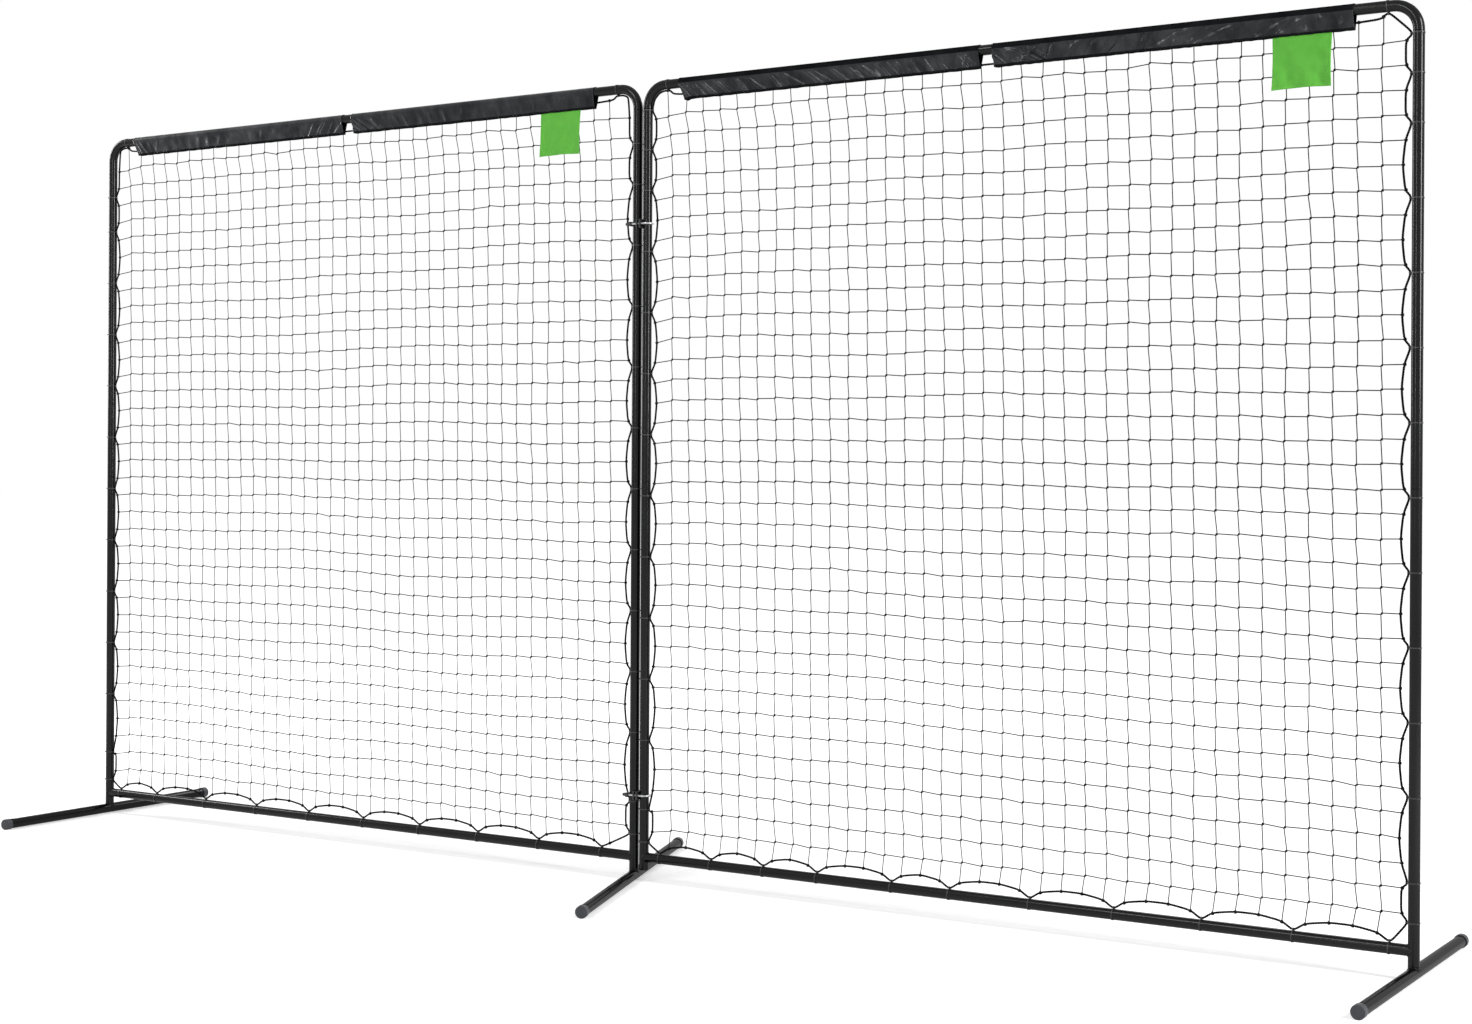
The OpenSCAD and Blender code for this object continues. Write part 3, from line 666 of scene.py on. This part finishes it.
# tuck: how far the lower corners are drawn in, left and right; droop: how far the left one hangs
# dark: the crown over the rail takes the darker cloth, as painted shade
# folds: from and to along the sleeve as a share of its length, how many, lean (below 0 falls to the right),
# half width and height in mm, and how much of the flap they cross
sleeves = {
    "left_sleeve_outer": {
        "seed": 41, "tuck": (0.022, 0.0), "droop": 0.001, "dark": False,
        "folds": [
            (0.00, 0.10, 3, (-0.9, -0.3), (6, 9), (1.2, 2.2), 0.9),
            (0.08, 0.88, 12, (-0.6, 0.6), (9, 15), (0.5, 1.2), 0.8),
            (0.84, 1.00, 5, (0.6, 1.3), (6, 9), (1.6, 2.8), 1.0),
        ],
    },
    "left_sleeve_inner": {
        "seed": 43, "tuck": (0.006, 0.003), "droop": 0.001, "dark": False,
        "folds": [
            (0.00, 0.14, 5, (-1.5, -0.7), (6, 10), (2.2, 4.2), 1.0),
            (0.12, 0.50, 7, (-0.8, 0.4), (8, 13), (1.0, 2.2), 0.8),
            (0.50, 1.00, 5, (-0.4, 0.4), (10, 16), (0.5, 1.2), 0.7),
        ],
    },
    "right_sleeve_inner": {
        "seed": 47, "tuck": (0.022, 0.0), "droop": 0.005, "dark": True,
        "folds": [
            (0.00, 0.09, 4, (-1.3, -0.6), (6, 8), (3.0, 5.0), 1.0),
            (0.08, 0.75, 15, (-1.7, -0.8), (5, 9), (3.2, 5.6), 1.0),
            (0.72, 1.00, 8, (-1.0, -0.2), (6, 10), (1.8, 3.6), 0.9),
            (0.92, 1.00, 3, (0.3, 0.9), (6, 8), (1.5, 2.8), 0.8),
        ],
    },
    "right_sleeve_outer": {
        "seed": 53, "tuck": (0.003, 0.0), "droop": 0.001, "dark": True,
        "folds": [
            (0.00, 0.14, 5, (-2.0, -0.9), (6, 9), (4.0, 6.2), 1.0),
            (0.10, 0.55, 9, (0.4, 1.6), (6, 10), (3.4, 6.0), 0.9),
            (0.50, 0.88, 6, (1.5, 3.0), (7, 11), (2.8, 5.2), 1.0),
            (0.82, 1.00, 3, (-0.3, 0.3), (9, 13), (0.8, 1.6), 0.7),
        ],
    },
}
stitchSpec = {"step": 0.0055, "long": 0.0036, "radius": 0.00035, "sides": 4, "inset": 0.0015}


def sleeveSection(spec):
    # from the front edge over the rail to the back: points, outward normals, distance from the near edge
    flap = math.hypot(spec["over"] - spec["half"], spec["drop"])
    arc = math.pi * spec["over"]
    total = 2 * flap + arc
    count = int(round(total / spec["aroundStep"]))
    slope = (spec["over"] - spec["half"]) / flap
    points = []
    for i in range(count + 1):
        s = total * i / count
        edge = min(s, total - s)
        sign = -1 if s < total / 2 else 1
        if edge < flap:
            t = edge / flap
            y, z = spec["half"] + (spec["over"] - spec["half"]) * t, -spec["drop"] * (1 - t)
            points.append((sign * y, z, sign * spec["drop"] / flap, -slope, edge))
        else:
            a = math.pi - (s - flap) / spec["over"]
            c, d = math.cos(a), math.sin(a)
            points.append((spec["over"] * c, spec["over"] * d, c, d, edge))
    return np.array(points), flap, total


def softNoise(rng, u, s, size, count=24):
    total = np.zeros(np.broadcast(u, s).shape)
    for _ in range(count):
        a = rng.uniform(0, 2 * np.pi)
        w = 2 * np.pi / (size * rng.uniform(0.6, 1.6))
        total += np.sin(w * (np.cos(a) * u + np.sin(a) * s) + rng.uniform(0, 2 * np.pi))
    return total / math.sqrt(count)


def foldLift(rng, folds, length, u, s, flap):
    # how far the cloth stands out: u along the rail, s up from the flap's edge
    out = np.zeros(u.shape)
    for start, stop, count, leans, widths, heights, cross in folds:
        for k in range(count):
            at = length * (start + (stop - start) * (k + rng.uniform(*foldSpec["spread"])) / count)
            lean, width = rng.uniform(*leans), rng.uniform(*widths) / 1000
            height = rng.uniform(*heights) / 1000
            tall = flap * min(cross * rng.uniform(*foldSpec["tall"]), 1.0)
            foot = rng.uniform(*foldSpec["foot"]) * (flap - tall)
            bow = rng.uniform(-foldSpec["bow"], foldSpec["bow"])
            middle = (s - foot) / tall - 0.5
            across = (u - at - lean * (s - flap / 2) - bow * middle ** 2) / math.sqrt(1 + lean * lean)
            steep = np.where(across > 0, width * foldSpec["steep"], width)
            fadeIn = 1 / (1 + np.exp(-(s - foot) / foldSpec["fadeLow"]))
            fade = fadeIn / (1 + np.exp((s - foot - tall) / foldSpec["fadeHigh"]))
            ridge = np.exp(-((across / steep) ** 2))
            beside = (across + foldSpec["valleyPlace"] * width) / (foldSpec["valleyWidth"] * width)
            valley = foldSpec["valley"] * np.exp(-(beside ** 2))
            out += height * fade * (ridge - valley)
    return out


def sheetFaces(nu, nv):
    # a closed skin over two grids of nu by nv points, the second one behind the first
    i, j = np.meshgrid(np.arange(nu - 1), np.arange(nv - 1), indexing="ij")
    a = (i * nv + j).ravel()
    faces = np.stack([a, a + nv, a + nv + 1, a + 1], -1).tolist()
    faces += (np.stack([a, a + 1, a + nv + 1, a + nv], -1) + nu * nv).tolist()
    rim = list(range(nv)) + [k * nv + nv - 1 for k in range(1, nu)]
    rim += [(nu - 1) * nv + k for k in range(nv - 2, -1, -1)] + [k * nv for k in range(nu - 2, 0, -1)]
    for p, q in zip(rim, rim[1:] + rim[:1]):
        faces.append([p, q, q + nu * nv, p + nu * nv])
    return faces


def stitchLines(surface, normals, row, nu, length):
    # short threads along the hem, laid on one row of the cloth's outer grid
    count = int(length / stitchSpec["step"])
    at = (np.arange(count) + 0.5) * stitchSpec["step"]
    lines = []
    for offset, rise in ((-0.5, 0.0), (0.0, 1.0), (0.5, 0.0)):
        place = np.clip((at + offset * stitchSpec["long"]) / length * (nu - 1), 0, nu - 1)
        whole = np.minimum(place.astype(int), nu - 2)
        part = (place - whole)[:, None]
        on = surface[whole, row] * (1 - part) + surface[whole + 1, row] * part
        lines.append(on + normals[whole, row] * stitchSpec["radius"] * rise)
    return np.stack(lines, 1)


def makeSleeve(node, f):
    spec, own = sleeveSpec, sleeves[node]
    rng = np.random.default_rng(own["seed"])
    low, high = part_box(node)
    length = high[0] - low[0]
    section, flap, total = sleeveSection(spec)
    nu, nv = int(round(length / spec["alongStep"])) + 1, len(section)
    u = np.linspace(0, length, nu)[:, None] * np.ones((1, nv))
    s = section[None, :, 4] * np.ones((nu, 1))
    front = (np.arange(nv) < nv // 2)[None, :]
    faceLift = foldLift(rng, own["folds"], length, u, s, flap)
    lift = np.where(front, faceLift, foldLift(rng, backFolds, length, u, s, flap))
    onTube = np.clip((s - flap + spec["cling"]) / spec["cling"], 0, 1)
    pucker = softNoise(rng, u + 0.4 * s, 0.25 * s, spec["puckerSize"])
    lift = lift * (1 - onTube) + spec["pucker"] * pucker * (1 - 0.7 * onTube)
    wave = spec["wave"] * softNoise(rng, u, s, spec["waveSize"])
    lift += wave * (1 - onTube) * np.clip(s / spec["waveEdge"], 0, 1)
    ends = np.minimum(u, length - u)
    edge, width = spec["seamEdge"], spec["seamWidth"]
    seams = np.clip((spec["hem"] - s) / edge, 0, 1) + np.clip((spec["sideHem"] - ends) / edge, 0, 1)
    groove = np.exp(-(((s - spec["hem"] - edge) / width) ** 2))
    groove += np.exp(-(((ends - spec["sideHem"] - edge) / width) ** 2)) * (1 - onTube)
    lift += spec["seamRise"] * np.minimum(seams, 1) - spec["seamRise"] * groove
    lift = np.clip(lift, *spec["lift"])
    lift = np.where(onTube > 0.9, np.maximum(lift, -0.0001), lift)  # never into the rail
    ragged = spec["ragged"] * softNoise(rng, u, 0 * s, spec["raggedSize"], 12)
    ragged = ragged * np.clip(1 - s / spec["raggedBand"], 0, 1)
    hanging = np.clip(1 - s / flap, 0, 1)
    place = spec["droopPlace"]
    droop = own["droop"] * np.exp(-(((u - place) / place) ** 2)) * hanging ** 1.5
    y = section[None, :, 0] + lift * section[None, :, 2]
    z = section[None, :, 1] + lift * section[None, :, 3] + np.maximum(ragged, -0.001) - droop
    reach = spec["tuckReach"]
    pull = own["tuck"][0] * np.exp(-u / reach) - own["tuck"][1] * np.exp(-(length - u) / reach)
    x = low[0] + u + pull * hanging
    normals = np.stack([0 * x, section[None, :, 2] + 0 * x, section[None, :, 3] + 0 * x], -1)
    middle = np.stack([x, y, f["top"] + z], -1)
    outer = middle + spec["thick"] / 2 * normals
    inner = middle - spec["thick"] / 2 * normals
    verts = np.concatenate([outer.reshape(-1, 3), inner.reshape(-1, 3)])
    name = node.replace("_sleeve_outer", "SleeveOuter").replace("_sleeve_inner", "SleeveInner")
    obj = makePiece(name, verts, sheetFaces(nu, nv), f["body"], "sleeve_cloth", [node])
    obj.data.materials.append(hemAndShadeFinish)
    heights = (section[1:, 1] + section[:-1, 1]) / 2
    edges = (section[1:, 4] + section[:-1, 4]) / 2
    # faces of the darker cloth: the hem band, and on the right sleeves the crown over the rail as painted
    # shade
    band = edges < spec["hem"]
    if own["dark"]:
        band = band | (heights > spec["crownEdge"])
    bands = np.zeros(len(obj.data.polygons), int)
    bands[:2 * (nu - 1) * (nv - 1)] = np.tile(band, 2 * (nu - 1))
    obj.data.polygons.foreach_set("material_index", bands.tolist())
    row = int(np.argmin(np.abs(section[:nv // 2, 4] - spec["hem"] + stitchSpec["inset"])))
    threads = np.concatenate([stitchLines(outer, normals, k, nu, length) for k in (row, nv - 1 - row)])
    verts, faces = sweep(threads, stitchSpec["radius"], stitchSpec["sides"])
    stitches = makePiece(f"{name}Stitches", verts, faces, f["body"], "sleeve_cloth")


for f in frames:
    for end in ("outer", "inner"):
        makeSleeve(f"{f['side']}_sleeve_{end}", f)
print("sleeves made")

tagSpec = {
    "thick": 0.0009,
    "step": 0.003,
    "hang": 0.0065,
    "tuck": 0.034,  # held inside the sleeve
    "fold": 0.0022,  # one slow wave from corner to corner
    "foldLength": 0.115,
    "foldWay": (1.1, 0.35),
    "foldStart": 0.8,
    "crumple": 0.0009,
    "crumpleSize": 0.05,
    "clear": 0.0026,  # keeps the waves in front of the net
    "hem": 0.006,
    "hemEdge": 0.001,
    "hemRise": 0.0003,
    "waist": 0.0026,  # its sides draw in half way down
    "arch": 0.0028,  # its lower edge rises in the middle
    "cornerDrop": 0.0018,
    "seeds": {"left": 5, "right": 8},
}


def makeTag(f):
    spec = tagSpec
    rng = np.random.default_rng(spec["seeds"][f["side"]])
    low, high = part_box(f"{f['side']}_tag")
    width, height = high[0] - low[0], high[2] - low[2]
    nu, nv = int(width / spec["step"]) + 1, int(height / spec["step"]) + 1
    u, v = np.meshgrid(np.linspace(0, width, nu), np.linspace(0, height, nv), indexing="ij")
    free = np.clip((height - v - spec["tuck"]) / (height - spec["tuck"]), 0, 1)  # 1 at the lower edge
    across, up = spec["foldWay"]
    phase = 2 * np.pi * (u * across + v * up) / spec["foldLength"] + spec["foldStart"]
    fold = spec["fold"] * np.sin(phase) + spec["crumple"] * softNoise(rng, u, v, spec["crumpleSize"])
    border = np.minimum(np.minimum(u, width - u), v)
    hem = np.clip((spec["hem"] - border) / spec["hemEdge"], 0, 1)
    y = (low[1] + high[1]) / 2 - 0.6 * spec["hang"] * free ** 0.7
    y = y - (fold + spec["clear"]) * free - spec["hemRise"] * hem
    waist = spec["waist"] * np.sin(np.pi * np.clip(v / (height - spec["tuck"]), 0, 1))
    x = low[0] + u + waist * (1 - 2 * u / width) * free ** 0.3
    z = low[2] + v + spec["arch"] * np.sin(np.pi * u / width) * free ** 3 - spec["cornerDrop"] * free ** 3
    half = spec["thick"] / 2
    front = np.stack([x, y - half, z], -1).reshape(-1, 3)
    rear = np.stack([x, y + half, z], -1).reshape(-1, 3)
    verts = np.concatenate([front, rear])
    faces = sheetFaces(nu, nv)
    obj = makePiece(f"{f['side']}Tag", verts, faces, f["body"], "tag_cloth", [f"{f['side']}_tag"])


makeTag(frames[0])
makeTag(frames[1])
print("tags made")

weldSpec = {
    "radius": 0.0019,
    "sides": 8,
    "points": 120,
    "beads": 30,
    "depth": 0.16,
    "proud": 0.0003,  # its middle stands this far off a post
    "turn": 0.012,  # rounds the seam where it passes the post's sides
    "footGap": 0.0006,
    "footProud": (0.0004, 0.0002),
}
rimSpec = {"radius": 0.0011, "sides": 8, "points": 40, "reach": 0.0058}


def weldBead(name, line, body):
    n, sides = len(line), weldSpec["sides"]
    ripple = 1 + weldSpec["depth"] * np.sin(2 * np.pi * weldSpec["beads"] * np.arange(n) / n)
    ripple = np.repeat(ripple[:, None], sides, 1)
    verts, faces = sweep(line[None], weldSpec["radius"], sides, closed=True, ripple=ripple)
    makePiece(name, verts, faces, body, "frame_tube")


def makePostBead(f, end, sense):
    # where the bottom rail's stub meets its post
    x = f["left"] if sense > 0 else f["right"]
    t = 2 * np.pi * np.arange(weldSpec["points"]) / weldSpec["points"]
    out = tubeR * np.sqrt(np.cos(t) ** 2 + weldSpec["turn"])
    proud = weldSpec["proud"]
    r = tubeR + proud
    line = np.stack([x + sense * (out + proud), r * np.sin(t), f["rail"] + tubeR * np.cos(t)], 1)
    weldBead(f"{f['side']}{end}PostBead", line, f["body"])


def turnedBy(a, b, turn):
    return a * math.cos(turn) - b * math.sin(turn), a * math.sin(turn) + b * math.cos(turn)


def dressFoot(name):
    # weld bead where the spigot meets the foot, and the turned rims of the two peg holes
    low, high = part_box(f"{name}_foot_spigot")
    x, y = (low[0] + high[0]) / 2, (low[1] + high[1]) / 2
    footLow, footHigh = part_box(f"{name}_foot")
    axis = (footLow[2] + footHigh[2]) / 2
    pegs = {m["name"]: m["pos_m"] for m in frame["record"]["mounts"]}
    fore = pegs[f"{name}_foot_front_peg"]
    turn = math.atan2(fore[0] - x, y - fore[1])
    reach = math.hypot(fore[0] - x, fore[1] - y)
    t = 2 * np.pi * np.arange(weldSpec["points"]) / weldSpec["points"]
    ring = tubeR + weldSpec["footGap"]
    a, b = ring * np.cos(t), ring * np.sin(t)
    onSide, onTop = weldSpec["footProud"]
    z = axis + np.minimum(np.sqrt(np.maximum((footR + onSide) ** 2 - a ** 2, 0)), footR + onTop)
    dx, dy = turnedBy(a, b, turn)
    weldBead(f"{name}FootBead", np.stack([x + dx, y + dy, z], 1), f"{name}_foot")
    t = 2 * np.pi * np.arange(rimSpec["points"]) / rimSpec["points"]
    rims = []
    for end in (-reach, reach):
        a, b = rimSpec["reach"] * np.cos(t), rimSpec["reach"] * np.sin(t) + end
        dx, dy = turnedBy(a, b, turn)
        rims.append(np.stack([x + dx, y + dy, axis + np.sqrt(footR ** 2 - a ** 2)], 1))
    rims = np.array(rims)
    verts, faces = sweep(rims, rimSpec["radius"], rimSpec["sides"], closed=True, facing=(0.0, 0.0, 1.0))
    makePiece(f"{name}PegRims", verts, faces, f"{name}_foot", "foot_tube")


makePostBead(frames[0], "Outer", 1)
makePostBead(frames[0], "Inner", -1)
makePostBead(frames[1], "Inner", 1)
makePostBead(frames[1], "Outer", -1)
for name in ("left", "middle", "right"):
    dressFoot(name)
print("weld beads and rims made")

studio = {
    "floorColour": (0.82, 0.82, 0.82),
    "floorHalf": 90,
    "floorLift": (0.42, 0.86),  # seen, not cast: near the object and far from it
    "liftReach": (3.0, 9.0),
    "skyLight": 0.3,
}


def seenDirectly(nodes, links):
    # 1 for camera, glossy and transmission rays
    path = nodes.new("ShaderNodeLightPath")
    first, second = nodes.new("ShaderNodeMath"), nodes.new("ShaderNodeMath")
    first.operation = second.operation = "MAXIMUM"
    links.new(path.outputs["Is Camera Ray"], first.inputs[0])
    links.new(path.outputs["Is Glossy Ray"], first.inputs[1])
    links.new(first.outputs[0], second.inputs[0])
    links.new(path.outputs["Is Transmission Ray"], second.inputs[1])
    return second.outputs[0]


def makeWorld():
    world = bpy.data.worlds.new("studioWorld")
    scene.world = world
    world.use_nodes = True
    nodes, links = world.node_tree.nodes, world.node_tree.links
    nodes.clear()
    light, seen = nodes.new("ShaderNodeBackground"), nodes.new("ShaderNodeBackground")
    light.inputs["Color"].default_value = (1, 1, 1, 1)
    light.inputs["Strength"].default_value = studio["skyLight"]
    seen.inputs["Color"].default_value = (1, 1, 1, 1)
    seen.inputs["Strength"].default_value = 1.0
    mix, out = nodes.new("ShaderNodeMixShader"), nodes.new("ShaderNodeOutputWorld")
    links.new(seenDirectly(nodes, links), mix.inputs[0])
    links.new(light.outputs[0], mix.inputs[1])
    links.new(seen.outputs[0], mix.inputs[2])
    links.new(mix.outputs[0], out.inputs[0])


def makeFloor():
    mat = bpy.data.materials.new("paleFloor")
    mat.use_nodes = True
    nodes, links = mat.node_tree.nodes, mat.node_tree.links
    nodes.clear()
    diffuse, glow = nodes.new("ShaderNodeBsdfDiffuse"), nodes.new("ShaderNodeEmission")
    diffuse.inputs["Color"].default_value = (*studio["floorColour"], 1)
    glow.inputs["Color"].default_value = (1, 1, 1, 1)
    place, far = nodes.new("ShaderNodeNewGeometry"), nodes.new("ShaderNodeVectorMath")
    far.operation = "LENGTH"
    links.new(place.outputs["Position"], far.inputs[0])
    lift, shown = nodes.new("ShaderNodeMapRange"), nodes.new("ShaderNodeMath")
    lift.inputs["From Min"].default_value, lift.inputs["From Max"].default_value = studio["liftReach"]
    lift.inputs["To Min"].default_value, lift.inputs["To Max"].default_value = studio["floorLift"]
    links.new(far.outputs["Value"], lift.inputs["Value"])
    shown.operation = "MULTIPLY"
    links.new(lift.outputs["Result"], shown.inputs[0])
    links.new(seenDirectly(nodes, links), shown.inputs[1])
    links.new(shown.outputs[0], glow.inputs["Strength"])
    both, out = nodes.new("ShaderNodeAddShader"), nodes.new("ShaderNodeOutputMaterial")
    links.new(diffuse.outputs[0], both.inputs[0])
    links.new(glow.outputs[0], both.inputs[1])
    links.new(both.outputs[0], out.inputs[0])
    mesh = bpy.data.meshes.new("floor")
    half = studio["floorHalf"]
    corners = [(-half, -half, 0), (half, -half, 0), (half, half, 0), (-half, half, 0)]
    mesh.from_pydata(corners, [], [(0, 1, 2, 3)])
    mesh.materials.append(mat)
    obj = bpy.data.objects.new("floor", mesh)
    scene.collection.objects.link(obj)


lamps = {
    "frontStrip": {"place": (0.6, -9.5, 4.4), "aim": (0, 0, 2.2), "size": (0.5, 5.0), "power": 200},
    "sideStrip": {"place": (9.0, -1.0, 4.4), "aim": (0, 0, 2.2), "size": (1.2, 5.0), "power": 720},
    "leftStrip": {"place": (-9.0, -1.0, 4.4), "aim": (0, 0, 2.2), "size": (0.9, 5.0), "power": 420},
    "overhead": {"place": (-1.0, -5.5, 6.5), "aim": (0, 0, 1.5), "size": (2.6, 0.8), "power": 140},
    "backSoft": {"place": (-1.0, 7.0, 5.5), "aim": (0, 0, 1.5), "size": (5.0, 1.2), "power": 126},
}


def makeLamp(name, spec):
    data = bpy.data.lights.new(name, "AREA")
    data.shape = "RECTANGLE"
    data.size, data.size_y = spec["size"]
    data.energy = spec["power"]
    obj = bpy.data.objects.new(name, data)
    obj.location = spec["place"]
    obj.rotation_euler = (Vector(spec["aim"]) - Vector(spec["place"])).to_track_quat("-Z", "Y").to_euler()
    scene.collection.objects.link(obj)


makeWorld()
makeFloor()
for name, spec in lamps.items():
    makeLamp(name, spec)
print("studio set")
